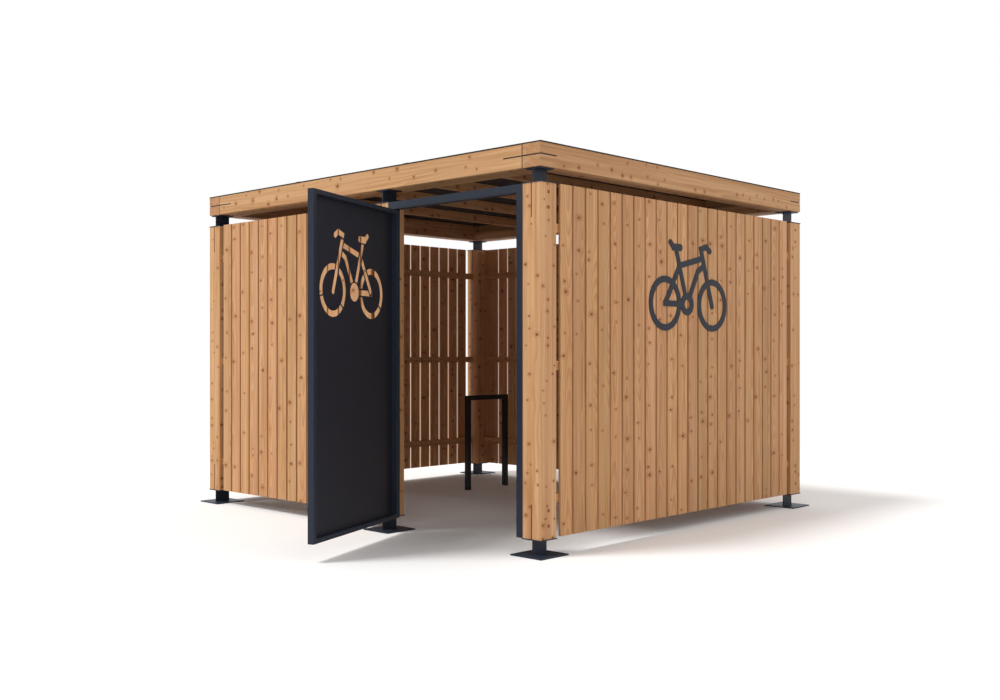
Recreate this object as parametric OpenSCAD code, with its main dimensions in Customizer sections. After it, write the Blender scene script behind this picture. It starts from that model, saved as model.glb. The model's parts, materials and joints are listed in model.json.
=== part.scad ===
// Timber bike shelter on five posts, with slatted walls, a flat roof and a steel door.
// Millimetres. The origin is on the ground under the axis of the front left post,
// +X runs along the front to the right, +Y to the back, +Z up. The door stands open at rest.

/* [Shelter] */
// Width across the outer faces of the corner posts
shelter_w = 3600; // [3200:5:4200]
// Depth across the outer faces of the corner posts
shelter_d = 3095; // [2600:5:3600]
// Clear width of the slatted bay left of the door
front_bay = 1932.5; // [1600:0.5:2100]

/* [Posts] */
// Side of the square posts
post_s = 145; // [120:1:160]
// Radius of the posts' rounded corners
post_round = 4; // [1:0.5:10]
// Length of the posts
post_len = 2129; // [2000:1:2400]

/* [Feet and heads] */
// Height of the posts' undersides above the ground
foot_h = 103; // [70:1:150]
// Side of the square base plates
base_s = 250; // [220:1:280]
// Thickness of the base plates
base_t = 8; // [6:1:14]
// Spacing of the anchor holes in a base plate
anchor_pitch = 190; // [170:1:195]
// Diameter of the anchor holes
anchor_d = 14; // [10:1:18]
// Thickness of the upright plates let into the posts
knife_t = 8; // [6:1:12]
// Width of the upright plates
knife_w = 122; // [90:1:140]
// Length of upright plate inside a post
knife_in = 203; // [195:1:260]
// Room around an upright plate in its slot
knife_clear = 1; // [0.5:0.5:2]
// Room past the end of an upright plate in its slot
knife_end = 4; // [1:1:10]
// Diameter of the dowels through the posts and the upright plates
dowel_d = 22; // [16:1:24]
// Room around a dowel or plug, on the radius
dowel_clear = 0.3; // [0.1:0.1:0.5]
// Height of the lowest dowels above the posts' undersides
dowel_low = 79; // [60:1:85]
// Depth of the highest dowels below the posts' tops
dowel_high = 55; // [45:1:85]
// Spacing of the two dowels in the end of a post
dowel_pitch = 92; // [70:1:96]
// Length of the timber plugs over the ends of the dowels
plug_len = 20; // [10:1:30]
// Thickness of the thin plates on the ends of the posts
seat_t = 6; // [4:1:8]
// Overhang of the thin plates beyond the posts' faces
seat_over = 3; // [0:0.5:6]
// Gap between the posts' tops and the beams' undersides
head_h = 93; // [60:1:130]
// Side of the square plates under the beams
head_s = 122; // [100:1:140]
// Thickness of the plates under the beams
head_t = 8; // [6:1:14]

/* [Roof] */
// Width of the roof beams
beam_w = 145; // [120:1:160]
// Height of the roof beams
beam_h = 145; // [130:1:200]
// Chamfer along the beams' edges
beam_ease = 3; // [1:0.5:6]
// Length of a corner plate along the front and back beams
corner_len = 302; // [240:1:360]
// Thickness of the corner plates
corner_t = 6; // [4:1:10]
// Distance of the corner plates' edges behind the beams' faces
corner_inset = 3; // [2:1:30]
// Room around a corner plate in its slot
corner_clear = 2; // [1:0.5:4]
// Joint between the ends of the front and back beams and the side beams
beam_joint = 6; // [2:0.5:8]
// Number of rafters
rafter_count = 4; // [2:1:6]
// Width of the rafters
rafter_w = 45; // [38:1:70]
// Height of the rafters
rafter_h = 72; // [60:1:90]
// Depth of the ledgers that carry the rafters, from the beams' inner faces
ledger_d = 50; // [35:1:70]
// Thickness of the roof sheet
roof_t = 6; // [4:1:30]
// Overhang of the roof sheet beyond the beams
roof_over = 2; // [0:1:20]

/* [Walls] */
// Width of a board
board_w = 108; // [80:1:130]
// Thickness of a board
board_t = 18; // [15:1:24]
// Gap between two boards
board_gap = 16; // [10:1:30]
// Chamfer along the boards' edges
board_ease = 2; // [0.5:0.5:4]
// Distance of the boards' faces behind the posts' faces
board_recess = 8; // [2:1:20]
// Height of the boards' lower ends above the posts' undersides
board_lift = 3; // [0:1:40]
// Height of the boards' upper ends above the posts' tops
board_rise = 5; // [0:1:20]
// Least gap between a post and the nearest board
board_end = 30; // [20:1:36]
// Room between the posts' seat plates and the wide end boards of the back wall
board_fit = 1; // [0.5:0.5:6]
// Depth of the wall rails behind the boards
rail_d = 45; // [35:1:60]
// Height of the wall rails
rail_h = 55; // [40:1:90]
// Height of the lowest rail's middle above the posts' undersides
rail_low = 234; // [150:1:400]
// Height of the middle rail's middle above the posts' undersides
rail_mid = 1037; // [900:1:1200]
// Depth of the highest rail's middle below the posts' tops
rail_top = 262; // [150:1:400]

/* [Door] */
// Width of the tubes of the door frame
jamb_s = 50; // [40:1:60]
// Depth of the tubes of the door frame
jamb_d = 60; // [50:1:80]
// Opening angle of the door at rest
door_open = 67; // [0:1:110]
// Depth of the door leaf
leaf_d = 40; // [30:1:48]
// Width of the leaf's stiles
stile_w = 32; // [25:1:60]
// Height of the leaf's top and bottom rails
leaf_rail_h = 27; // [20:1:60]
// Thickness of the leaf's outer sheet
panel_t = 3; // [2:0.5:5]
// Gap between the leaf and the frame on the hinge side
hinge_gap = 5; // [5:0.5:10]
// Gap between the leaf and the frame on the closing side
latch_gap = 7; // [7:0.5:12]
// Gap between the leaf's top and the frame
top_gap = 14; // [5:0.5:20]
// Height of the leaf's lower edge above the posts' undersides
leaf_lift = 5; // [5:1:40]

/* [Hinges] */
// Outer diameter of a hinge knuckle
knuckle_d = 20; // [18:1:22]
// Length of a hinge knuckle
knuckle_len = 45; // [35:1:70]
// Diameter of a hinge pin
pin_d = 12; // [8:1:12]
// Room between a hinge pin and its bore, on the radius
pin_clear = 0.05; // [0.02:0.01:0.1]
// Room between the two knuckles of a hinge
knuckle_gap = 0.3; // [0.2:0.1:1]
// Distance of the hinge axis in front of the leaf's face
hinge_off = 12; // [12:0.5:16]
// Thickness of a hinge flap
flap_t = 5; // [3:0.5:5]
// Width of a hinge flap from the axis
flap_w = 42; // [30:1:46]
// Distance of the outer hinges from the ends of the leaf
hinge_end = 200; // [120:5:400]

/* [Bicycle sign] */
// Distance between the wheels' middles
sign_base = 572; // [520:1:640]
// Outer diameter of the wheels
sign_wheel_d = 370; // [300:1:380]
// Width of the wheels' rims
sign_rim = 43; // [25:1:55]
// Width of the frame's tubes
sign_tube = 40; // [25:1:45]
// Width of the saddle
sign_seat = 48; // [40:1:56]
// Outer diameter of the chain wheel
sign_ring_d = 154; // [120:1:160]
// Diameter of the hole in the chain wheel
sign_ring_hole = 66; // [50:1:90]
// Distance of the chain wheel in front of the rear wheel's middle
sign_crank = 260; // [240:1:275]
// Height of the saddle above the wheels' middles
sign_saddle_h = 372; // [330:1:400]
// Height of the handlebar above the wheels' middles
sign_bar_h = 391; // [360:1:430]
// Depth of the wheels' middles on the wall below the posts' tops
sign_below = 683; // [500:1:900]
// Distance of the wall sign's middle behind the middle of the wall
sign_shift = 12; // [-200:1:200]
// Thickness of the wall sign
sign_t = 5; // [3:1:8]
// Size of the door's cut-out sign against the wall sign
cutout_scale = 0.875; // [0.6:0.005:1]
// Depth of the wheels' middles on the door below the leaf's top
cutout_below = 574; // [480:1:900]
// Distance of the door sign's middle from the leaf's middle, towards the closing side
cutout_shift = 17; // [-40:1:40]
// Width of the bridges left in the cut-out sign
cutout_bridge = 10; // [6:1:16]

/* [Bicycle stand] */
// Side of the stand's square tube
stand_s = 40; // [30:1:60]
// Height of the stand
stand_h = 830; // [700:5:950]
// Distance between the middles of the stand's legs
stand_len = 475; // [350:5:800]
// Distance of the stand from the front left post, along the front
stand_x = 907.5; // [500:0.5:2900]
// Distance of the stand's nearer leg from the front left post, to the back
stand_y = 1915; // [600:5:2200]

/* [Hidden] */
$fn = 64;
eps = 1;
timber_color = "#c8996b";
plug_color = "#8f6440";
steel_color = "#30363f";
roof_color = "#2b2e33";
panel_color = "#24252a";

// Plan: post axes and outer faces
x_post = shelter_w - post_s;
y_post = shelter_d - post_s;
x_mid = post_s + front_bay;
x_left = -post_s / 2;
x_right = x_post + post_s / 2;
y_front = -post_s / 2;
y_back = y_post + post_s / 2;

// Heights
post_top = foot_h + post_len;
beam_z = post_top + head_h;
beam_top = beam_z + beam_h;

// Posts: axes, plates on their ends and heights of their dowels
post_axes = [[0, 0], [x_post, 0], [0, y_post], [x_post, y_post], [x_mid, 0]];
seat_s = post_s + 2 * seat_over;
dowel_len = post_s - 2 * plug_len;
dowel_zs = [
  foot_h + dowel_low,
  foot_h + dowel_low + dowel_pitch,
  post_top - dowel_high - dowel_pitch,
  post_top - dowel_high
];

// Roof: ledgers flush with the beams' undersides, rafters flush with the beams' tops
ledger_h = beam_h - rafter_h;
inner_w = shelter_w - 2 * beam_w;
inner_d = shelter_d - 2 * beam_w;
rafter_step = inner_w / (rafter_count + 1);

// Walls
board_pitch = board_w + board_gap;
side_bay = shelter_d - 2 * post_s;
back_bay = shelter_w - 2 * post_s;
rail_zs = [
  foot_h + rail_low,
  foot_h + rail_mid,
  post_top - rail_top
];

// Door
jamb_hinge_x = x_mid + post_s / 2;
jamb_latch_x = x_post - post_s / 2 - jamb_s;
door_clear = jamb_latch_x - jamb_hinge_x - jamb_s;
leaf_w = door_clear - hinge_gap - latch_gap;
leaf_z = foot_h + leaf_lift;
leaf_top = post_top - jamb_s - top_gap;
leaf_h = leaf_top - leaf_z;
hinge_x = jamb_hinge_x + jamb_s + hinge_gap / 2;
hinge_y = y_front - hinge_off;
hinge_zs = [
  leaf_z + hinge_end - knuckle_len,
  (leaf_z + leaf_top) / 2 - knuckle_len,
  leaf_top - hinge_end - knuckle_len
];

// Bicycle sign: points of the figure, from the middle between the wheels
sign_rear = [-sign_base / 2, 0];
sign_front = [sign_base / 2, 0];
sign_crank_p = sign_rear + [sign_crank, 0];
sign_saddle_p = sign_crank_p + [-132, sign_saddle_h];
sign_seat_p = sign_saddle_p + [-30, 13];
sign_nose_p = sign_saddle_p + [49, 14];
sign_tail_p = sign_saddle_p + [-67, 44];
sign_bar_p = sign_front + [-143, sign_bar_h];
sign_grip_p = sign_bar_p + [-18, -5];
sign_bend_p = sign_bar_p + [68, 20];
sign_drop_p = sign_bend_p + [44, -28];
sign_fork_p = sign_front + [-2, -8];
sign_seat_lug = sign_crank_p + [-92, 262];
sign_head_lug = sign_front + [-118, 328];
sign_down_bend = sign_crank_p + [133, 235];
sign_down_lug = sign_front + [-108, 272];
end_swell = 0.4;

// Profiles

// Rectangle from the origin with chamfered corners
module eased(w, h, ease) {
  polygon([
    [ease, 0], [w - ease, 0], [w, ease], [w, h - ease],
    [w - ease, h], [ease, h], [0, h - ease], [0, ease]
  ]);
}

// Centred square with rounded corners
module rounded_square(s, r) {
  square([s - 2 * r, s], center = true);
  square([s, s - 2 * r], center = true);
  for (x = [-1, 1], y = [-1, 1])
    translate([x * (s / 2 - r), y * (s / 2 - r)])
      circle(r);
}

// Straight stroke between two points, run on past both ends by reach
module stroke(a, b, w, reach = 0) {
  run = b - a;
  translate(a)
    rotate(atan2(run[1], run[0]))
      translate([-reach, -w / 2])
        square([norm(run) + 2 * reach, w]);
}

// Round end of a stroke, a little fuller than the stroke so that the outlines cross
module round_end(p, w) {
  translate(p)
    circle(w / 2 + end_swell);
}

// Flat ring
module ring(d, hole) {
  difference() {
    circle(d / 2);
    circle(hole / 2);
  }
}

// Feet, posts and heads, drawn about a post's axis

// Round bar across a post at the height of each dowel, from x along +X
module cross_bars(x, d, len) {
  for (z = dowel_zs)
    translate([x, 0, z])
      rotate([0, 90, 0])
        cylinder(d = d, h = len);
}

module dowel_holes() {
  cross_bars(-post_s / 2 - eps, dowel_d + 2 * dowel_clear, post_s + 2 * eps);
}

module at_posts() {
  for (axis = post_axes)
    translate([axis[0], axis[1], 0])
      children();
}

module dowels() {
  color(steel_color)
    at_posts()
      cross_bars(-dowel_len / 2, dowel_d, dowel_len);
}

// Plugs that close the dowels' holes, flush with the posts' faces
module plugs() {
  color(plug_color)
    at_posts()
      for (x = [-post_s / 2, post_s / 2 - plug_len])
        cross_bars(x, dowel_d, plug_len);
}

// Thin plate on the end of a post
module seat_plate() {
  translate([-seat_s / 2, -seat_s / 2, 0])
    cube([seat_s, seat_s, seat_t]);
}

module foot() {
  color(steel_color) {
    difference() {
      translate([-base_s / 2, -base_s / 2, 0])
        cube([base_s, base_s, base_t]);
      for (x = [-1, 1], y = [-1, 1])
        translate([x * anchor_pitch / 2, y * anchor_pitch / 2, -eps])
          cylinder(d = anchor_d, h = base_t + 2 * eps);
    }
    difference() {
      translate([-knife_t / 2, -knife_w / 2, base_t])
        cube([knife_t, knife_w, foot_h + knife_in - base_t]);
      dowel_holes();
    }
    translate([0, 0, foot_h - seat_t])
      seat_plate();
  }
}

// Slot through a post from front to back, upwards from the origin
module knife_slot() {
  slot_w = knife_t + 2 * knife_clear;
  translate([-slot_w / 2, -post_s / 2 - eps, 0])
    cube([slot_w, post_s + 2 * eps, knife_in + knife_end + eps]);
}

module post() {
  color(timber_color)
    difference() {
      translate([0, 0, foot_h])
        linear_extrude(post_len)
          rounded_square(post_s, post_round);
      translate([0, 0, foot_h - eps])
        knife_slot();
      translate([0, 0, post_top + eps])
        mirror([0, 0, 1])
          knife_slot();
      dowel_holes();
    }
}

module head() {
  color(steel_color) {
    difference() {
      translate([-knife_t / 2, -knife_w / 2, post_top - knife_in])
        cube([knife_t, knife_w, knife_in + head_h]);
      dowel_holes();
    }
    translate([0, 0, post_top])
      seat_plate();
    translate([-head_s / 2, -head_s / 2, beam_z - head_t])
      cube([head_s, head_s, head_t]);
  }
}

module at_front_right() {
  translate([x_post, 0, 0])
    children();
}

module at_back_left() {
  translate([0, y_post, 0])
    children();
}

module at_back_right() {
  translate([x_post, y_post, 0])
    children();
}

module at_door_post() {
  translate([x_mid, 0, 0])
    children();
}

// Roof

// The four corners of the roof, each with +X and +Y running inwards
module at_roof_corners() {
  for (right = [0, 1], back = [0, 1])
    translate([right ? x_right : x_left, back ? y_back : y_front, 0])
      mirror([right, 0, 0])
        mirror([0, back, 0])
          children();
}

module corner_slots() {
  at_roof_corners()
    translate([-eps, -eps, beam_z + (beam_h - corner_t) / 2])
      cube([corner_len + corner_clear + eps, beam_w + corner_clear + eps, corner_t + corner_clear]);
}

module corner_plates() {
  color(steel_color)
    at_roof_corners()
      translate([corner_inset, corner_inset, beam_z + (beam_h - corner_t) / 2])
        cube([corner_len - corner_inset, beam_w - corner_inset, corner_t]);
}

// Beam along the depth, with its left face at x
module side_beam(x) {
  color(timber_color)
    difference() {
      translate([x, y_back, beam_z])
        rotate([90, 0, 0])
          linear_extrude(shelter_d)
            eased(beam_w, beam_h, beam_ease);
      corner_slots();
    }
}

// Beam along the width, between the side beams, with its front face at y
module cross_beam(y) {
  color(timber_color)
    difference() {
      translate([x_left + beam_w + beam_joint, y, beam_z])
        rotate([90, 0, 90])
          linear_extrude(inner_w - 2 * beam_joint)
            eased(beam_w, beam_h, beam_ease);
      corner_slots();
    }
}

// Ledgers along the inner faces of the front and back beams
module ledgers() {
  color(timber_color)
    for (y = [y_front + beam_w, y_back - beam_w - ledger_d])
      translate([x_left + beam_w, y, beam_z])
        cube([inner_w, ledger_d, ledger_h]);
}

// Rafters on the ledgers, in equal steps between the side beams
module rafters() {
  color(timber_color)
    for (step = [1 : rafter_count])
      translate([x_left + beam_w + step * rafter_step - rafter_w / 2, y_front + beam_w, beam_z + ledger_h])
        cube([rafter_w, inner_d, rafter_h]);
}

module roof_sheet() {
  color(roof_color)
    translate([x_left - roof_over, y_front - roof_over, beam_top])
      cube([shelter_w + 2 * roof_over, shelter_d + 2 * roof_over, roof_t]);
}

// Walls, drawn along +X from a post's face with the inside towards +Y

// Boards in equal steps. In a tight wall the end boards are wider and reach the posts.
module boards(bay, tight = false) {
  count = floor((bay - 2 * board_end + board_gap) / board_pitch);
  first = (bay - count * board_pitch + board_gap) / 2;
  extra = tight ? first - seat_over - board_fit : 0;
  color(timber_color)
    for (i = [0 : count - 1]) {
      before = i == 0 ? extra : 0;
      after = i == count - 1 ? extra : 0;
      translate([first + i * board_pitch - before, board_recess, foot_h + board_lift])
        linear_extrude(post_len - board_lift + board_rise)
          eased(before + board_w + after, board_t, board_ease);
    }
}

module rails(bay) {
  color(timber_color)
    for (z = rail_zs)
      translate([0, board_recess + board_t, z - rail_h / 2])
        cube([bay, rail_d, rail_h]);
}

module at_front_wall() {
  translate([post_s / 2, y_front, 0])
    children();
}

module at_right_wall() {
  translate([x_right, post_s / 2, 0])
    rotate([0, 0, 90])
      children();
}

module at_left_wall() {
  translate([x_left, y_post - post_s / 2, 0])
    rotate([0, 0, -90])
      children();
}

module at_back_wall() {
  translate([x_post - post_s / 2, y_back, 0])
    rotate([0, 0, 180])
      children();
}

// Door frame

// Upright tube with its left face at x
module jamb(x) {
  color(steel_color)
    translate([x, y_front, foot_h])
      cube([jamb_s, jamb_d, post_len]);
}

module door_header() {
  color(steel_color)
    translate([jamb_hinge_x + jamb_s, y_front, post_top - jamb_s])
      cube([door_clear, jamb_d, jamb_s]);
}

// Door leaf, drawn closed about the hinge axis and swung open

module at_door() {
  translate([hinge_x, hinge_y, 0])
    rotate([0, 0, -door_open])
      children();
}

// Stile with its hinge side at u
module door_stile(u) {
  color(steel_color)
    at_door()
      translate([u, hinge_off + panel_t, leaf_z])
        cube([stile_w, leaf_d - panel_t, leaf_h]);
}

// Rail of the leaf with its lower edge at z
module door_rail(z) {
  color(steel_color)
    at_door()
      translate([hinge_gap / 2 + stile_w, hinge_off + panel_t, z])
        cube([leaf_w - 2 * stile_w, leaf_d - panel_t, leaf_rail_h]);
}

module door_panel() {
  color(panel_color)
    at_door()
      translate([0, hinge_off + panel_t, 0])
        rotate([90, 0, 0])
          linear_extrude(panel_t)
            difference() {
              translate([hinge_gap / 2, leaf_z])
                square([leaf_w, leaf_h]);
              translate([(hinge_gap + leaf_w) / 2 + cutout_shift, leaf_top - cutout_below])
                scale(cutout_scale)
                  bike_cutout();
            }
}

// Hinges: the lower knuckle with the pin is on the frame, the upper one on the leaf

module hinge_pins() {
  color(steel_color)
    for (z = hinge_zs)
      translate([hinge_x, hinge_y, z]) {
        cylinder(d = knuckle_d, h = knuckle_len);
        cylinder(d = pin_d, h = 2 * knuckle_len);
        translate([-flap_w, hinge_off - flap_t, 0])
          cube([flap_w, flap_t, knuckle_len]);
      }
}

module hinge_barrels() {
  color(steel_color)
    at_door()
      for (z = hinge_zs)
        translate([0, 0, z + knuckle_len + knuckle_gap])
          difference() {
            union() {
              cylinder(d = knuckle_d, h = knuckle_len);
              translate([0, hinge_off - flap_t, 0])
                cube([flap_w, flap_t, knuckle_len]);
            }
            translate([0, 0, -eps])
              cylinder(r = pin_d / 2 + pin_clear, h = knuckle_len + 2 * eps);
          }
}

// Bicycle sign, drawn with the front wheel towards +X. Each piece can be grown all round.

module sign_wheel(p) {
  translate(p)
    ring(sign_wheel_d, sign_wheel_d - 2 * sign_rim);
}

module sign_saddle(grow = 0) {
  seat_w = sign_seat + 2 * grow;
  tail_w = sign_tube + 2 * grow;
  stroke(sign_seat_p, sign_nose_p, seat_w, grow);
  stroke(sign_seat_p, sign_tail_p, tail_w, grow);
  round_end(sign_seat_p, seat_w);
  round_end(sign_nose_p, seat_w);
  round_end(sign_tail_p, tail_w);
}

module sign_handlebar(grow = 0) {
  bar_w = sign_tube + 2 * grow;
  stroke(sign_grip_p, sign_bend_p, bar_w, grow);
  stroke(sign_bend_p, sign_drop_p, bar_w, grow);
  round_end(sign_bend_p, bar_w);
  round_end(sign_drop_p, bar_w);
}

module sign_fork(grow = 0) {
  fork_w = sign_tube + 2 * grow;
  stroke(sign_bar_p, sign_fork_p, fork_w, grow);
  round_end(sign_fork_p, fork_w);
}

module sign_seat_tube(grow = 0) {
  stroke(sign_saddle_p, sign_crank_p, sign_tube + 2 * grow, grow);
}

module sign_seat_stay(grow = 0) {
  stroke(sign_seat_lug, sign_rear, sign_tube + 2 * grow, grow);
}

module sign_chain_stay(grow = 0) {
  stroke(sign_rear - [sign_tube / 2, 0], sign_crank_p, sign_tube + 2 * grow, grow);
}

module sign_top_tube() {
  stroke(sign_seat_lug, sign_head_lug, sign_tube);
}

module sign_down_tube() {
  stroke(sign_down_bend, sign_crank_p, sign_tube);
  stroke(sign_down_bend, sign_down_lug, sign_tube);
  round_end(sign_down_bend, sign_tube);
}

module sign_disc(d) {
  translate(sign_crank_p)
    circle(d / 2);
}

module bike_figure() {
  difference() {
    union() {
      sign_wheel(sign_rear);
      sign_wheel(sign_front);
      sign_saddle();
      sign_handlebar();
      sign_fork();
      sign_seat_tube();
      sign_seat_stay();
      sign_chain_stay();
      sign_top_tube();
      sign_down_tube();
      sign_disc(sign_ring_d);
    }
    sign_disc(sign_ring_hole);
  }
}

// Narrow bridge across a wheel's rim, at an angle from +X
module rim_bridge(p, angle) {
  translate(p)
    rotate(angle)
      translate([0, -cutout_bridge / 2])
        square([sign_wheel_d, cutout_bridge]);
}

// The same figure as separate openings, with bridges that hold the sheet together
module bike_cutout() {
  gap = cutout_bridge;
  difference() {
    sign_wheel(sign_front);
    sign_fork(gap);
    rim_bridge(sign_front, -15);
    rim_bridge(sign_front, -140);
  }
  difference() {
    sign_wheel(sign_rear);
    sign_seat_stay(gap);
    sign_chain_stay(gap);
    rim_bridge(sign_rear, -145);
  }
  difference() {
    sign_fork();
    sign_handlebar(gap);
  }
  difference() {
    sign_seat_tube();
    sign_saddle(gap);
    sign_disc(sign_ring_d);
  }
  difference() {
    sign_seat_stay();
    sign_seat_tube(gap);
  }
  difference() {
    sign_chain_stay();
    sign_seat_stay(gap);
    sign_disc(sign_ring_d);
  }
  difference() {
    sign_top_tube();
    sign_seat_tube(gap);
    sign_fork(gap);
  }
  difference() {
    sign_down_tube();
    sign_fork(gap);
    sign_disc(sign_ring_d);
    sign_seat_tube(gap);
  }
  sign_disc(sign_ring_d - 2 * gap);
  sign_saddle();
  sign_handlebar();
}

module wall_sign() {
  color(steel_color)
    translate([x_right - board_recess, y_post / 2 + sign_shift, post_top - sign_below])
      rotate([90, 0, 90])
        linear_extrude(sign_t)
          bike_figure();
}

// Bicycle stand: a hoop of square tube, along the depth
module bike_stand() {
  color(steel_color)
    translate([stand_x - stand_s / 2, stand_y - stand_s / 2, 0])
      rotate([90, 0, 90])
        linear_extrude(stand_s)
          difference() {
            square([stand_len + stand_s, stand_h]);
            translate([stand_s, -eps])
              square([stand_len - stand_s, stand_h - stand_s + eps]);
          }
}

foot();  // foot_front_left
at_front_right() foot();  // foot_front_right
at_back_left() foot();  // foot_back_left
at_back_right() foot();  // foot_back_right
at_door_post() foot();  // foot_door
post();  // post_front_left
at_front_right() post();  // post_front_right
at_back_left() post();  // post_back_left
at_back_right() post();  // post_back_right
at_door_post() post();  // post_door
head();  // head_front_left
at_front_right() head();  // head_front_right
at_back_left() head();  // head_back_left
at_back_right() head();  // head_back_right
at_door_post() head();  // head_door
dowels();
plugs();
side_beam(x_left);  // beam_left
side_beam(x_right - beam_w);  // beam_right
cross_beam(y_front);  // beam_front
cross_beam(y_back - beam_w);  // beam_back
corner_plates();
ledgers();
rafters();
roof_sheet();
at_front_wall() boards(front_bay);  // boards_front
at_left_wall() boards(side_bay);  // boards_left
at_right_wall() boards(side_bay);  // boards_right
at_back_wall() boards(back_bay, tight = true);  // boards_back
at_front_wall() rails(front_bay);  // rails_front
at_left_wall() rails(side_bay);  // rails_left
at_right_wall() rails(side_bay);  // rails_right
at_back_wall() rails(back_bay);  // rails_back
jamb(jamb_hinge_x);  // jamb_hinge
jamb(jamb_latch_x);  // jamb_latch
door_header();
door_stile(hinge_gap / 2);  // door_stile_hinge
door_stile(hinge_gap / 2 + leaf_w - stile_w);  // door_stile_latch
door_rail(leaf_top - leaf_rail_h);  // door_rail_top
door_rail(leaf_z);  // door_rail_bottom
door_panel();
hinge_pins();
hinge_barrels();
wall_sign();
bike_stand();
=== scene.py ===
"""Looks of a timber bike shelter with a steel door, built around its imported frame. Metres."""
import json
import math

import bmesh
import bpy
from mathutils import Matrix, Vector


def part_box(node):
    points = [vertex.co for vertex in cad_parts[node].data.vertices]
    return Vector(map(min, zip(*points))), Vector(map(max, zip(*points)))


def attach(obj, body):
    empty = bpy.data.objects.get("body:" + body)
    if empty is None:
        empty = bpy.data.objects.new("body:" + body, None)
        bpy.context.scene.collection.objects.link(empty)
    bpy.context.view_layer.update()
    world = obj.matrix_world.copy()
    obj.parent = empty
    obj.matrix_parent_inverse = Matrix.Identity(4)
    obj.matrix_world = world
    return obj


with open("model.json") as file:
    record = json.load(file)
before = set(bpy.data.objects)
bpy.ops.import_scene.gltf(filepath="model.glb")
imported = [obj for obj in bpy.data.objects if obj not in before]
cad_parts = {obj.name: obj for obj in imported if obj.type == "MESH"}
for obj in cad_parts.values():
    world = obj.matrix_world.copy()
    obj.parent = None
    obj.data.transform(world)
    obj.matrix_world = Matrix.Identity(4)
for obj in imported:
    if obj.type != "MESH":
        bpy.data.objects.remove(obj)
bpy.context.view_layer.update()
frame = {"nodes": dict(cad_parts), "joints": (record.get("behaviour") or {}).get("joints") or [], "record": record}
nodes = frame["nodes"]

# Camera, solved from the photograph
CAMERA_PLACE = (7.9086, -5.0081, 1.2294)
CAMERA_YAW = math.radians(43.674)
CAMERA_LENS = 40.134
CAMERA_SENSOR = 36.0
CAMERA_SHIFT_Y = 0.0005

# The door's angle at rest in degrees, as in the part's source. So are the next sizes.
DOOR_OPEN = 67

# The upright plates of the feet and heads, and the levels where they meet the flat ones
KNIFE_T = 0.008
KNIFE_W = 0.122
BASE_TOP = 0.008
SEAT_UNDER = 0.097
SEAT_TOP = 2.238
HEAD_UNDER = 2.317

# The screws and faces of the hinge flaps, from the hinge's axis
FLAP_SCREW = 0.028
FLAP_FACE = 0.007

# Timber sizes that the shaders follow
BOARD_PITCH = 0.124
BOARD_WIDTH = 0.108
BEAM = 0.145


def linear(r, g, b):
    """Scene colour of an sRGB colour written in 0 to 255."""
    def channel(value):
        value /= 255
        return value / 12.92 if value <= 0.04045 else ((value + 0.055) / 1.055) ** 2.4
    return (channel(r), channel(g), channel(b), 1.0)


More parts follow.
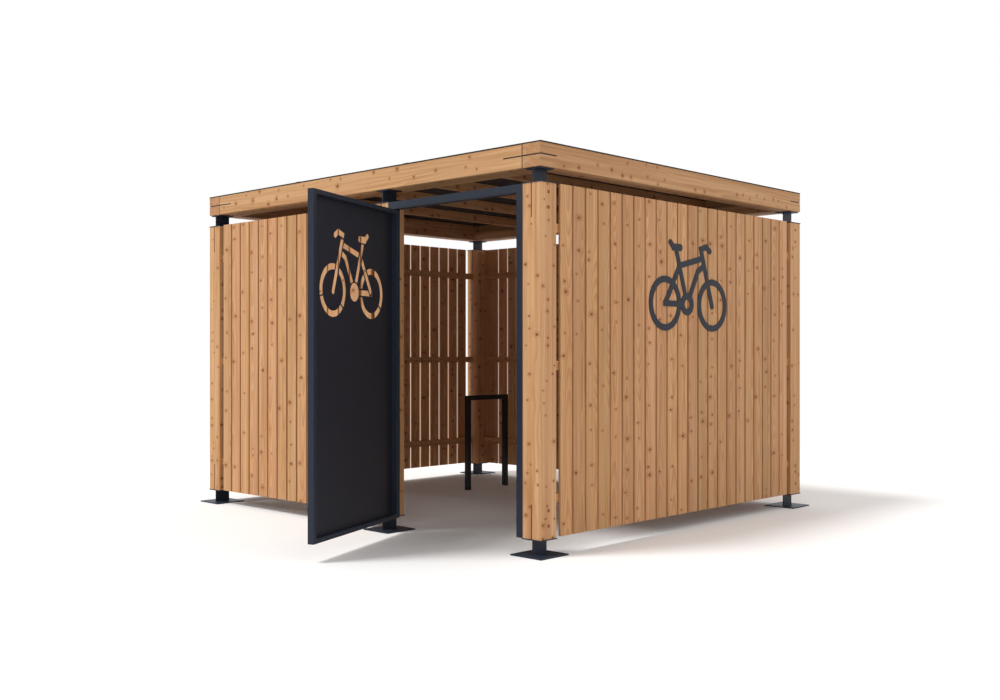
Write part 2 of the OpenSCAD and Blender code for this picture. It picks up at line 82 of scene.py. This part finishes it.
class Shader:
    """Short names for the nodes of one material or world."""

    def __init__(self, name, store=bpy.data.materials):
        self.owner = store.new(name)
        self.owner.use_nodes = True
        self.tree = self.owner.node_tree
        self.tree.nodes.clear()

    def feed(self, socket, value):
        if isinstance(value, bpy.types.NodeSocket):
            self.tree.links.new(value, socket)
        else:
            socket.default_value = value

    def add(self, kind, inputs=None, **settings):
        node = self.tree.nodes.new(kind)
        for key, value in settings.items():
            setattr(node, key, value)
        for key, value in (inputs or {}).items():
            self.feed(node.inputs[key], value)
        return node

    def math(self, operation, a, b=0.0, c=0.0):
        return self.add("ShaderNodeMath", {0: a, 1: b, 2: c}, operation=operation).outputs[0]

    def distance(self, x, y):
        """Distance from the origin of a plane to the place x, y."""
        squares = self.math("ADD", self.math("POWER", x, 2.0), self.math("POWER", y, 2.0))
        return self.math("POWER", squares, 0.5)

    def fade(self, value, low, high):
        """0 at low and 1 at high, with soft ends."""
        inputs = {"Value": value, "From Min": low, "From Max": high}
        return self.add("ShaderNodeMapRange", inputs, interpolation_type="SMOOTHSTEP").outputs["Result"]

    def rings(self, radius, width, rise, drop):
        """Growth rings. In each the value rises to 1 between two shares of its width, and it drops to 0
        at the ring's end."""
        turn = self.math("FRACT", self.math("DIVIDE", radius, width))
        return self.math("MULTIPLY", self.fade(turn, *rise), self.fade(turn, 1.0, drop))

    def vector(self, x, y, z):
        return self.add("ShaderNodeCombineXYZ", {"X": x, "Y": y, "Z": z}).outputs[0]

    def split(self, vector):
        return list(self.add("ShaderNodeSeparateXYZ", {"Vector": vector}).outputs)

    def place(self):
        """The surface's place in the object's own frame, as three numbers."""
        return self.split(self.add("ShaderNodeTexCoord").outputs["Object"])

    def facing(self):
        """The direction that the mesh's face looks in, as three numbers."""
        return self.split(self.add("ShaderNodeNewGeometry").outputs["True Normal"])

    def noise(self, vector, scale, detail=2.0, roughness=0.5):
        inputs = {"Vector": vector, "Scale": scale, "Detail": detail, "Roughness": roughness}
        return self.add("ShaderNodeTexNoise", inputs).outputs["Fac"]

    def ramp(self, value, stops):
        node = self.add("ShaderNodeValToRGB", {"Fac": value})
        elements = node.color_ramp.elements
        while len(elements) < len(stops):
            elements.new(0.5)
        for element, (position, color) in zip(elements, stops):
            element.position = position
            element.color = color
        return node.outputs["Color"]

    def mix(self, factor, a, b, blend="MIX"):
        node = self.add("ShaderNodeMix", data_type="RGBA", blend_type=blend)
        self.feed(node.inputs[0], factor)
        self.feed(node.inputs[6], a)
        self.feed(node.inputs[7], b)
        return node.outputs[2]

    def bump(self, height, distance, strength, normal=None):
        inputs = {"Height": height, "Distance": distance, "Strength": strength}
        if normal is not None:
            inputs["Normal"] = normal
        return self.add("ShaderNodeBump", inputs).outputs["Normal"]

    def rounded(self, radius):
        """Normal that rounds sharp edges off."""
        return self.add("ShaderNodeBevel", {"Radius": radius}, samples=4).outputs["Normal"]

    def surface(self, **inputs):
        shader = self.add("ShaderNodeBsdfPrincipled")
        for key, value in inputs.items():
            self.feed(shader.inputs[key.replace("_", " ")], value)
        return self.finish(shader.outputs["BSDF"])

    def seen(self):
        """1 for rays that show, straight, mirrored or through glass, and 0 for those that light."""
        path = self.add("ShaderNodeLightPath").outputs
        mirrored = self.math("MAXIMUM", path["Is Glossy Ray"], path["Is Transmission Ray"])
        return self.math("MAXIMUM", path["Is Camera Ray"], mirrored)

    def blend(self, factor, a, b):
        return self.add("ShaderNodeMixShader", {0: factor, 1: a, 2: b}).outputs[0]

    def finish(self, shader, output="ShaderNodeOutputMaterial"):
        self.add(output, {"Surface": shader})
        return self.owner


# Timber

TIMBER_LIGHT = linear(229, 184, 139)
TIMBER_MID = linear(211, 161, 116)
TIMBER_DARK = linear(183, 130, 86)
TIMBER_PINK = linear(221, 157, 114)
TIMBER_GOLD = linear(216, 170, 109)
LATEWOOD = linear(158, 104, 62)
HEARTWOOD = linear(204, 133, 76)
KNOT_RIM = linear(168, 98, 42)
KNOT_CORE = linear(104, 56, 12)
# Colour of cut ends: darker end grain, and painted shade of the joint gaps on the beams set between the side beams
END_GRAIN_AND_GAP_SHADE = linear(76, 42, 20)
PLUG_LIGHT = linear(172, 120, 80)
PLUG_DARK = linear(140, 94, 60)

# How thin boards and thick pieces differ:
# empty is the share of the places for knots that have none
# pith is the reach of the middle of the growth rings
# ring is the width of a growth ring, and drop the share of it where its dark part starts to end
# waves is how often a ring waves in a metre across and along the grain, and swing how far
# level is the brightness of the darkest piece
BOARD_LOOK = {"empty": 0.73, "pith": 0.1, "ring": 0.0062, "drop": 0.9,
              "waves": (14.0, 1.4), "swing": 0.007, "level": 0.91}
THICK_LOOK = {"empty": 0.4, "pith": 0.16, "ring": 0.019, "drop": 0.8,
              "waves": (9.0, 3.2), "swing": 0.04, "level": 0.885}

# Places for knots in a metre across and along the grain, and their least distance from an edge
KNOTS_BOARD = (8.0, 11.0)
KNOTS_POST = (11.0, 14.0)
KNOTS_BEAM = (9.4, 9.4)
KNOT_EDGE = 0.013

# Size of the least knot and what a large one adds, both in parts of the room that a knot has, and where its
# core and its rim fade out, in parts of its size
KNOT_LEAST = 0.052
KNOT_MORE = 0.065
CORE_FADE = (1.3, 0.5)
RIM_FADE = (3.6, 0.8)

# How often in a metre across and along the grain the noises of the timber wave
FIBRE_WAVES = (330.0, 7.0)
STREAK_WAVES = (34.0, 0.8)
PATCH_WAVES = (5.0, 1.2)
RAGGED_WAVES = (160.0, 110.0)
WANDER_WAVES = (2.0, 0.55)
TAPER_WAVES = (0.0, 0.6)

# How far the pith wanders sideways and in depth, how far the rings swell round a knot, and how far the
# heartwood reaches
WANDER = 0.09
TAPER = 0.16
KNOT_SWELL = 0.006
HEART_REACH = 0.035

# Greatest share of each colour laid over the timber, and how much brightness differs between pieces
TINT_SHARE = 0.55
BOARD_RING_SHARE = 0.4
THICK_RING_SHARE = 0.42
THICK_RING_FADE = (0.36, 0.72)
HEART_SHARE = 0.35
RIM_SHARE = 0.42
LEVEL_SPREAD = 0.2

# Steps that give each piece, and each long face of a thick piece, a stretch of figure of its own
SEED_STEP = 7.31
GRAIN_STEP = 40.0
FACE_STEPS = (3.37, 7.91)

# Shares of a ring between which it darkens, depth of the grain, radius of the edges, and how far a normal
# has to lie along an axis for its face to look that way
RING_RISE = (0.25, 0.86)
GRAIN_DEPTH = 0.0008
TIMBER_EDGE = 0.003
FACES_AXIS = 0.7


def timber(name, grain, middle, seed, row, ends):
    """Planed softwood with the grain along one axis. row is None for a thick piece. For boards it is their axis,
    start and count, and each board has a figure of its own. ends tells how much darker the cut ends are: darker
    end grain, and, where it is near 1, painted shade of the gap at a joint."""
    s = Shader(name)
    look = BOARD_LOOK if row else THICK_LOOK
    xyz = s.place()
    key = seed * SEED_STEP
    local = [s.math("SUBTRACT", xyz[i], middle[i]) for i in range(3)]
    if row:
        axis, start, count = row
        step = s.math("FLOOR", s.math("DIVIDE", s.math("SUBTRACT", xyz[axis], start), BOARD_PITCH))
        step = s.math("MINIMUM", s.math("MAXIMUM", step, 0.0), count - 1.0)
        board_middle = s.math("MULTIPLY_ADD", step, BOARD_PITCH, start + BOARD_WIDTH / 2)
        local[axis] = s.math("SUBTRACT", xyz[axis], board_middle)
        key = s.math("ADD", step, key)
    draw = s.add("ShaderNodeTexWhiteNoise", {"W": key}, noise_dimensions="1D")
    chance = s.split(draw.outputs["Color"])
    sides = [i for i in range(3) if i != grain]
    if row and sides[0] != row[0]:
        sides.reverse()
    across, deep = (local[i] for i in sides)
    along = s.math("MULTIPLY_ADD", chance[0], GRAIN_STEP, local[grain])

    def grain_noise(waves, detail=2.0, roughness=0.5):
        fine, long = waves
        stretched = s.vector(s.math("MULTIPLY", across, fine), s.math("MULTIPLY", deep, fine),
                             s.math("MULTIPLY", along, long))
        return s.noise(stretched, 1.0, detail, roughness)

    # Knots: right through a thin board, and of its own on each long face of a thick piece
    normal = s.facing()
    if row:
        over, down, reach = across, along, BOARD_WIDTH / 2
        wide, long = KNOTS_BOARD
    else:
        turned = s.math("GREATER_THAN", s.math("ABSOLUTE", normal[sides[1]]), FACES_AXIS)
        over = s.math("MULTIPLY_ADD", turned, s.math("SUBTRACT", across, deep), deep)
        one, other = (s.math("ROUND", normal[i]) for i in sides)
        down = s.math("MULTIPLY_ADD", other, FACE_STEPS[1], along)
        down = s.math("MULTIPLY_ADD", one, FACE_STEPS[0], down)
        reach = BEAM / 2
        wide, long = KNOTS_POST if grain == 2 else KNOTS_BEAM
    spread = s.vector(s.math("MULTIPLY", over, wide), s.math("MULTIPLY", down, long), 0.0)
    cells = s.add("ShaderNodeTexVoronoi", {"Vector": spread, "Scale": 1.0}, voronoi_dimensions="2D")
    lot = s.split(cells.outputs["Color"])
    aside = s.math("ABSOLUTE", s.split(cells.outputs["Position"])[0])
    clear = s.math("LESS_THAN", aside, (reach - KNOT_EDGE) * wide)
    there = s.math("MULTIPLY", s.math("GREATER_THAN", lot[0], look["empty"]), clear)
    size = s.math("MULTIPLY_ADD", s.math("POWER", lot[1], 2.0), KNOT_MORE, KNOT_LEAST)
    ragged = s.math("MULTIPLY_ADD", grain_noise(RAGGED_WAVES), 0.7, 0.65)
    away = s.math("MULTIPLY", s.math("DIVIDE", cells.outputs["Distance"], size), ragged)
    core = s.math("MULTIPLY", s.fade(away, *CORE_FADE), there)
    halo = s.math("MULTIPLY", s.fade(away, *RIM_FADE), there)

    # Growth rings about a pith that wanders along the piece
    pith = look["pith"]
    wander = s.math("MULTIPLY", s.math("SUBTRACT", grain_noise(WANDER_WAVES, 1.0), 0.5), WANDER)
    pith_place = s.math("MULTIPLY_ADD", s.math("SUBTRACT", chance[1], 0.5), pith, wander)
    taper = s.math("SUBTRACT", grain_noise(TAPER_WAVES, 1.0), 0.5)
    depth = s.math("MULTIPLY_ADD", chance[2], pith, s.math("MULTIPLY_ADD", taper, TAPER, pith * 0.35))
    beside = s.math("SUBTRACT", across, pith_place)
    far = s.distance(beside, s.math("ADD", deep, depth))
    ripple = s.math("MULTIPLY", grain_noise(look["waves"]), look["swing"])
    radius = s.math("ADD", s.math("ADD", far, ripple), s.math("MULTIPLY", halo, KNOT_SWELL))
    ring = s.rings(radius, look["ring"], RING_RISE, look["drop"])

    # Broad streaks and fine fibres along the grain
    streak = grain_noise(STREAK_WAVES, 3.0, 0.6)
    fibre = grain_noise(FIBRE_WAVES, 2.0, 0.6)
    patch = grain_noise(PATCH_WAVES)

    color = s.ramp(streak, [(0.28, TIMBER_DARK), (0.5, TIMBER_MID), (0.72, TIMBER_LIGHT)])
    tint = s.mix(chance[1], TIMBER_PINK, TIMBER_GOLD)
    color = s.mix(s.math("MULTIPLY", patch, TINT_SHARE), color, tint)

    # Rings show all over a board, and in patches on a thick piece
    share = BOARD_RING_SHARE
    if not row:
        share = s.math("MULTIPLY", s.fade(patch, *THICK_RING_FADE), THICK_RING_SHARE)
    color = s.mix(s.math("MULTIPLY", ring, share), color, LATEWOOD)
    heart = s.fade(s.math("ABSOLUTE", beside), HEART_REACH, 0.0)
    color = s.mix(s.math("MULTIPLY", heart, s.math("MULTIPLY", patch, HEART_SHARE)), color, HEARTWOOD)
    level = s.math("MULTIPLY_ADD", chance[2], LEVEL_SPREAD, look["level"])
    level = s.math("MULTIPLY", level, s.math("MULTIPLY_ADD", fibre, 0.24, 0.9))
    color = s.mix(1.0, color, s.vector(level, level, level), "MULTIPLY")
    color = s.mix(s.math("MULTIPLY", halo, RIM_SHARE), color, KNOT_RIM)
    dark = s.math("MULTIPLY_ADD", lot[2], 0.35, 0.6)
    color = s.mix(s.math("MULTIPLY", core, dark), color, KNOT_CORE)

    # Cut ends darken: end grain, and, where ends is near 1, painted shade of a joint gap
    cut = s.fade(s.math("ABSOLUTE", normal[grain]), FACES_AXIS, 0.9)
    color = s.mix(s.math("MULTIPLY", cut, ends), color, END_GRAIN_AND_GAP_SHADE)

    height = s.math("ADD", s.math("MULTIPLY", fibre, 0.5), s.math("MULTIPLY", ring, 0.4))
    height = s.math("SUBTRACT", height, s.math("MULTIPLY", core, 0.5))
    rough = s.math("MULTIPLY_ADD", fibre, 0.25, 0.5)
    return s.surface(Base_Color=color, Roughness=rough, Specular_IOR_Level=0.3,
                     Normal=s.bump(height, GRAIN_DEPTH, 0.35, s.rounded(TIMBER_EDGE)))


# Plugs: width of a ring, where it darkens and ends, scale of the pores, and depth of the grain
PLUG_RING = 0.0021
PLUG_RISE = (0.2, 0.85)
PLUG_DROP = 0.9
PLUG_PORES = 900.0
PLUG_DEPTH = 0.0005


def end_grain(name):
    """Cut ends of round timber plugs: darker than the face of the timber, with fine rings and pores."""
    s = Shader(name)
    x, y, z = s.place()
    where = s.vector(x, y, z)
    bend = s.math("MULTIPLY", s.noise(where, 9.0), 0.05)
    ring = s.rings(s.math("ADD", s.math("ADD", y, z), bend), PLUG_RING, PLUG_RISE, PLUG_DROP)
    pore = s.noise(where, PLUG_PORES)
    color = s.mix(s.noise(where, 14.0), PLUG_DARK, PLUG_LIGHT)
    color = s.mix(s.math("MULTIPLY", ring, 0.4), color, KNOT_CORE)
    color = s.mix(s.math("MULTIPLY", s.fade(pore, 0.6, 0.75), 0.5), color, KNOT_CORE)
    return s.surface(Base_Color=color, Roughness=0.75, Specular_IOR_Level=0.2,
                     Normal=s.bump(s.math("ADD", ring, pore), PLUG_DEPTH, 0.4))


# Coated steel and the roof covering

STEEL = linear(42, 49, 63)
DOOR_SHEET = linear(39, 41, 51)
SIGN_SHEET = linear(43, 47, 57)
STAND_TUBE = linear(30, 31, 36)
FIXING = linear(52, 57, 67)
ROOF_SHEET = linear(42, 44, 49)
ROOF_DARK = linear(33, 34, 38)
ROOF_DUST = linear(90, 89, 87)

# Coating: radius of the edges, scales of its noises, depth of its peel, and shares of the paler colour, on flakes
# and on edges, where it is wear and painted highlight
COAT_EDGE = 0.0016
COAT_CLOUDS = 2.3
COAT_PEEL = 520.0
COAT_FLAKES = 1900.0
PEEL_DEPTH = 0.0002
FLAKE_SHARE = 0.05
WEAR_AND_HIGHLIGHT_SHARE = 0.15

# Roof covering: scales of its noises, depth of its grit, and share of the dust's colour
ROOF_PATCHES = 1.1
ROOF_MOTTLE = 16.0
ROOF_GRIT = 420.0
GRIT_DEPTH = 0.0006
DUST_SHARE = 0.3


def steel(name, color, roughness):
    """Powder coating with a faint orange peel, and edges a little paler, as wear and as painted highlight where
    they catch light.
    """
    s = Shader(name)
    where = s.vector(*s.place())
    cloud = s.noise(where, COAT_CLOUDS, 3.0)
    peel = s.noise(where, COAT_PEEL, 1.0)
    flake = s.noise(where, COAT_FLAKES, 1.0)
    bevel = s.rounded(COAT_EDGE)
    flat = s.add("ShaderNodeNewGeometry").outputs["Normal"]
    alike = s.add("ShaderNodeVectorMath", {0: bevel, 1: flat}, operation="DOT_PRODUCT").outputs["Value"]
    edge = s.fade(alike, 0.98, 0.8)
    dark = tuple(c * 0.86 for c in color[:3]) + (1.0,)
    pale = tuple(c * 1.75 + 0.004 for c in color[:3]) + (1.0,)
    coat = s.mix(cloud, dark, color)
    coat = s.mix(s.math("MULTIPLY", s.fade(flake, 0.55, 0.8), FLAKE_SHARE), coat, pale)
    # Paler edges: wear, and painted highlight of edges catching light
    coat = s.mix(s.math("MULTIPLY", edge, WEAR_AND_HIGHLIGHT_SHARE), coat, pale)
    rough = s.math("MULTIPLY_ADD", cloud, 0.16, roughness - 0.08)
    return s.surface(Base_Color=coat, Roughness=rough, Specular_IOR_Level=0.25,
                     Normal=s.bump(peel, PEEL_DEPTH, 0.25, bevel))


def roofing(name):
    """Matt roof covering with fine grit, and a little pale dust in patches on its top."""
    s = Shader(name)
    where = s.vector(*s.place())
    top = s.fade(s.facing()[2], FACES_AXIS, 0.95)
    patch = s.noise(where, ROOF_PATCHES)
    mottle = s.noise(where, ROOF_MOTTLE, 4.0, 0.65)
    grit = s.noise(where, ROOF_GRIT)
    dusty = s.math("MULTIPLY", s.fade(patch, 0.25, 0.75), s.fade(mottle, 0.25, 0.75))
    coat = s.mix(mottle, ROOF_DARK, ROOF_SHEET)
    coat = s.mix(s.math("MULTIPLY", s.math("MULTIPLY", dusty, top), DUST_SHARE), coat, ROOF_DUST)
    coat = s.mix(s.math("MULTIPLY", s.fade(grit, 0.5, 0.8), DUST_SHARE), coat, ROOF_DUST)
    rough = s.math("MULTIPLY_ADD", dusty, 0.2, 0.55)
    return s.surface(Base_Color=coat, Roughness=rough, Specular_IOR_Level=0.25,
                     Normal=s.bump(grit, GRIT_DEPTH, 0.4, s.rounded(COAT_EDGE)))


finishes = {
    "steel": steel("steel_coat", STEEL, 0.45),
    "door_sheet": steel("door_coat", DOOR_SHEET, 0.42),
    "sign_sheet": steel("sign_coat", SIGN_SHEET, 0.5),
    "roof_sheet": roofing("roof_coat"),
    "stand_tube": steel("stand_coat", STAND_TUBE, 0.35),
    "fixing": steel("fixing_coat", FIXING, 0.4),
}


# Finishes of the CAD nodes

GRAIN = {"post": 2, "boards": 2, "rafters": 1, "ledgers": 0}
ALONG = {"left": 1, "right": 1, "front": 0, "back": 0}

# Seeds that put the paler boards of the seen walls in their places and make the right beam the darker one
CHOSEN_SEEDS = {"boards_front": 731, "boards_right": 2402, "beam_right": 594}

# How much darker the cut ends are: hardly on the side beams, whose ends show, and nearly black on the beams
# between them, which is painted shade of the gaps at their joints
END_SHADES = {"beam_left": 0.08, "beam_right": 0.08, "beam_front": 0.95, "beam_back": 0.95}
END_SHADE = 0.45


def timber_grain(name):
    """Axis of the grain in a timber node: upright, or along the wall or roof edge that it is in."""
    kind, _, side = name.partition("_")
    return GRAIN[kind] if kind in GRAIN else ALONG[side]


def board_middles(wall):
    """Axis along a wall and the middles of its boards on that axis. The end boards may be wider than
    the rest."""
    axis = ALONG[wall]
    low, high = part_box("boards_" + wall)
    count = int((high[axis] - low[axis] + BOARD_PITCH - BOARD_WIDTH) / BOARD_PITCH + 0.01)
    first = (low[axis] + high[axis]) / 2 - (count - 1) * BOARD_PITCH / 2
    return axis, [first + i * BOARD_PITCH for i in range(count)]


def node_finish(name, slot, seed):
    if slot != "timber":
        return finishes[slot]
    if name == "plugs":
        return end_grain("plug_end_grain")
    low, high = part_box(name)
    kind, _, side = name.partition("_")
    row = None
    if kind == "boards":
        axis, middles = board_middles(side)
        row = (axis, middles[0] - BOARD_WIDTH / 2, len(middles))
    ends = END_SHADES.get(name, END_SHADE)
    return timber("timber_" + name, timber_grain(name), (low + high) / 2, seed, row, ends)


def finish_nodes():
    slots = {part["node"]: part["material_slot"] for part in frame["record"]["subparts"]}
    seeds = {name: seed for seed, name in enumerate(sorted(nodes), 1)}
    seeds.update(CHOSEN_SEEDS)
    for name, seed in seeds.items():
        materials = nodes[name].data.materials
        materials.clear()
        materials.append(node_finish(name, slots[name], seed))


finish_nodes()


# Small fixings, welds and laps, each in the place that the CAD nodes give

SHARP_ANGLE = math.radians(50)

# Screw heads: the rings of the dome as shares of the radius and heights, and the recess with its lobes
HEAD_R = 0.0045
HEAD_DOME = ((1.0, 0.0), (0.97, 0.0007), (0.78, 0.0014))
SCREW_LOBES = 6
RECESS_R = 0.0023
LOBE_R = 0.00035
RECESS_TOP = 0.0017
RECESS_FLOOR = 0.0005
RECESS_TAPER = 0.85

# Wall screws from the middle of a board and from the middle of a rail, and shares of a knuckle's length
BOARD_SCREW = 0.032
RAIL_SCREW = 0.008
FLAP_SHARES = (0.27, 0.73)

# Weld beads: size, step along them, and outline between the two plates in parts of the size
WELD_SIZE = 0.0042
WELD_STEP = 0.0016
WELD_OUTLINE = ((0.0, 0.0), (0.0, 1.0), (0.3, 0.62), (0.5, 0.5), (0.62, 0.3), (1.0, 0.0))
CORNERS = ("front_left", "front_right", "back_left", "back_right", "door")

# Roof laps: their places across the roof, steps along them, and outline across and up
LAP_SHARES = (1 / 3, 2 / 3)
LAP_STEPS = 90
LAP_OUTLINE = ((-0.030, 0.0), (-0.027, 0.0011), (-0.010, 0.0017),
               (0.020, 0.0019), (0.0285, 0.0016), (0.030, 0.0))
LAP_SWAY = 0.0012
LAP_LIFT = 0.14


def new_piece(name, verts, faces, body, finish="fixing"):
    """A mesh piece that rides on a body."""
    mesh = bpy.data.meshes.new(name)
    mesh.from_pydata([tuple(v) for v in verts], [], faces)
    shell = bmesh.new()
    shell.from_mesh(mesh)
    bmesh.ops.recalc_face_normals(shell, faces=shell.faces)
    shell.to_mesh(mesh)
    shell.free()
    mesh.shade_smooth()
    mesh.set_sharp_from_angle(angle=SHARP_ANGLE)
    mesh.materials.append(finishes[finish])
    piece = bpy.data.objects.new(name, mesh)
    bpy.context.scene.collection.objects.link(piece)
    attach(piece, body)


def loft(verts, faces, rings):
    """Closed skin over rings of points, with a face at each end."""
    start, wide = len(verts), len(rings[0])
    for ring in rings:
        verts.extend(ring)
    for low in range(start, start + (len(rings) - 1) * wide, wide):
        for k in range(wide):
            a, b = low + k, low + (k + 1) % wide
            faces.append((a, b, b + wide, a + wide))
    faces.append(tuple(range(start, start + wide)))
    faces.append(tuple(range(len(verts) - wide, len(verts))))


def screw(verts, faces, place, normal, turn):
    """Low domed screw head with a six-lobed recess, standing on an upright face."""
    normal = Vector(normal).normalized()
    level = normal.cross(Vector((0.0, 0.0, 1.0))).normalized()
    upright = normal.cross(level)
    count = 4 * SCREW_LOBES
    steps = [2 * math.pi * i / count for i in range(count)]
    lobes = [RECESS_R + LOBE_R * math.cos(SCREW_LOBES * step) for step in steps]
    spokes = [math.cos(step + turn) * level + math.sin(step + turn) * upright for step in steps]
    rings = [[(HEAD_R * share, height)] * count for share, height in HEAD_DOME]
    rings.append([(r, RECESS_TOP) for r in lobes])
    rings.append([(r * RECESS_TAPER, RECESS_FLOOR) for r in lobes])
    points = []
    for ring in rings:
        points.append([place + r * spoke + height * normal for spoke, (r, height) in zip(spokes, ring)])
    loft(verts, faces, points)


def bead(verts, faces, start, end, one, other):
    """Rippled weld bead from start to end, in the corner between the directions one and other."""
    count = max(2, int((end - start).length / WELD_STEP))
    rings = []
    for i in range(count + 1):
        point = start.lerp(end, i / count)
        swell = WELD_SIZE * (1.0 + 0.16 * math.sin(i * 2.1) + 0.06 * math.sin(i * 0.77 + 1.3))
        rings.append([point + swell * (p * one + q * other) for p, q in WELD_OUTLINE])
    loft(verts, faces, rings)


def rail_heights():
    """Middles of the three wall rails, read from the corners of the rail node."""
    levels = sorted({round(v.co.z, 4) for v in nodes["rails_left"].data.vertices})
    return [(levels[i] + levels[i + 1]) / 2 for i in (0, 2, 4)]


def wall_screws():
    """Two screws through each rail into each board, from the inside, each stopped at a turn of its own."""
    inward = {"front": (0, 1, 0), "back": (0, -1, 0), "left": (1, 0, 0), "right": (-1, 0, 0)}
    heights = rail_heights()
    for wall, normal in inward.items():
        axis, middles = board_middles(wall)
        low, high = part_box("rails_" + wall)
        face = high if sum(normal) > 0 else low
        verts, faces = [], []
        for n, middle in enumerate(middles):
            for k, z in enumerate(heights):
                for side in (-1, 1):
                    place = Vector(face)
                    place[axis] = middle + side * BOARD_SCREW
                    place.z = z + side * RAIL_SCREW
                    screw(verts, faces, place, normal, n * 1.7 + k * 0.6 + side)
        new_piece("wall_screws_" + wall, verts, faces, "shelter")


def hinge_screws():
    """Two screws in each hinge flap. The leaf's flaps are turned with the door."""
    joint = next(j for j in frame["joints"] if j["name"] == "door_hinge")
    axis_place = Vector(joint["pos_m"])
    # Each hinge has three levels in this node: both ends of the lower knuckle, and the top of the pin
    levels = sorted({round(v.co.z, 4) for v in nodes["hinge_pins"].data.vertices})
    length = levels[1] - levels[0]
    turn = math.radians(-DOOR_OPEN)
    along = Vector((math.cos(turn), math.sin(turn), 0.0))
    inward = Vector((-math.sin(turn), math.cos(turn), 0.0))
    frame_verts, frame_faces, leaf_verts, leaf_faces = [], [], [], []
    for low in levels[0::3]:
        for share in FLAP_SHARES:
            place = axis_place + Vector((-FLAP_SCREW, FLAP_FACE, 0.0))
            place.z = low + share * length
            screw(frame_verts, frame_faces, place, (0, -1, 0), low + share)
            place = axis_place + FLAP_SCREW * along + FLAP_FACE * inward
            place.z = low + (1 + share) * length
            screw(leaf_verts, leaf_faces, place, -inward, low - share)
    new_piece("hinge_screws_frame", frame_verts, frame_faces, "shelter")
    new_piece("hinge_screws_leaf", leaf_verts, leaf_faces, "door")


def plate_welds():
    """Beads where the upright plates meet the plates on the ground, on the posts and under the beams."""
    up, down = Vector((0, 0, 1)), Vector((0, 0, -1))
    seams = {
        "foot_": ((BASE_TOP, up), (SEAT_UNDER, down)),
        "head_": ((SEAT_TOP, up), (HEAD_UNDER, down)),
    }
    for corner in CORNERS:
        verts, faces = [], []
        for kind, levels in seams.items():
            low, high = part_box(kind + corner)
            middle = (low + high) / 2
            for z, away in levels:
                for side in (-1, 1):
                    out = Vector((side, 0, 0))
                    x = middle.x + side * KNIFE_T / 2
                    start, end = (Vector((x, middle.y + k * KNIFE_W / 2, z)) for k in (-1, 1))
                    bead(verts, faces, start, end, out, away)
        new_piece("plate_welds_" + corner, verts, faces, "shelter")


def roof_laps():
    """Welded laps of the roof covering, a little proud of the sheet, with a soft edge."""
    low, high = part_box("roof_sheet")
    verts, faces = [], []
    for share in LAP_SHARES:
        x = low.x + share * (high.x - low.x)
        rings = []
        for i in range(LAP_STEPS + 1):
            y = low.y + (high.y - low.y) * i / LAP_STEPS
            sway = LAP_SWAY * math.sin(i * 0.37 + share * 9.0)
            lift = 1.0 + LAP_LIFT * math.sin(i * 0.83 + share * 5.0)
            rings.append([Vector((x + p + sway, y, high.z + h * lift)) for p, h in LAP_OUTLINE])
        loft(verts, faces, rings)
    new_piece("roof_laps", verts, faces, "shelter", "roof_sheet")


wall_screws()
hinge_screws()
plate_welds()
roof_laps()


# Floor, light and camera

WHITE = (1.0, 1.0, 1.0, 1.0)
SKY_LIGHT = 0.76
SUN_LIGHT = 1.62
SUN_ANGLE = math.radians(15)
SUN_DIRECTION = (0.24, 0.43, -0.87)

# The floor's colour for light, its colour where it shows, and the distances between which it fades to white
FLOOR_LIT = (0.62, 0.62, 0.615, 1.0)
FLOOR_SHOWN = (1.0, 0.99, 0.98, 1.0)
FLOOR_FADE = (3.0, 7.0)
FLOOR_RADIUS = 60.0
FLOOR_CORNERS = 96
FLOOR_MIDDLE = (1.7, 1.4, -0.0005)


def floor():
    """Pale floor that takes the shadow and fades to the white background."""
    bpy.ops.mesh.primitive_circle_add(vertices=FLOOR_CORNERS, radius=FLOOR_RADIUS, fill_type="NGON",
                                      location=FLOOR_MIDDLE)
    plane = bpy.context.object
    plane.name = "floor"
    s = Shader("floor")
    x, y, _ = s.place()
    lit = s.add("ShaderNodeBsdfDiffuse", {"Color": FLOOR_LIT}).outputs[0]
    near = s.add("ShaderNodeBsdfDiffuse", {"Color": FLOOR_SHOWN}).outputs[0]
    white = s.add("ShaderNodeEmission", {"Color": WHITE, "Strength": 1.0}).outputs[0]
    shown = s.blend(s.fade(s.distance(x, y), *FLOOR_FADE), near, white)
    plane.data.materials.append(s.finish(s.blend(s.seen(), lit, shown)))


def light():
    """Even sky, which shows as white, and one soft sun."""
    s = Shader("studio", bpy.data.worlds)
    sky = s.add("ShaderNodeBackground", {"Color": WHITE, "Strength": SKY_LIGHT}).outputs[0]
    white = s.add("ShaderNodeBackground", {"Color": WHITE, "Strength": 1.0}).outputs[0]
    bpy.context.scene.world = s.finish(s.blend(s.seen(), sky, white), "ShaderNodeOutputWorld")

    sun = bpy.data.lights.new("key", "SUN")
    sun.energy = SUN_LIGHT
    sun.angle = SUN_ANGLE
    lamp = bpy.data.objects.new("key", sun)
    lamp.rotation_euler = Vector(SUN_DIRECTION).to_track_quat("-Z", "Y").to_euler()
    bpy.context.scene.collection.objects.link(lamp)


def camera():
    lens = bpy.data.cameras.new("camera")
    lens.sensor_width = CAMERA_SENSOR
    lens.lens = CAMERA_LENS
    lens.shift_y = CAMERA_SHIFT_Y
    eye = bpy.data.objects.new("camera", lens)
    eye.location = CAMERA_PLACE
    eye.rotation_euler = (math.pi / 2, 0.0, CAMERA_YAW)
    bpy.context.scene.collection.objects.link(eye)
    bpy.context.scene.camera = eye


floor()
light()
camera()
bpy.context.scene.view_settings.view_transform = "Standard"
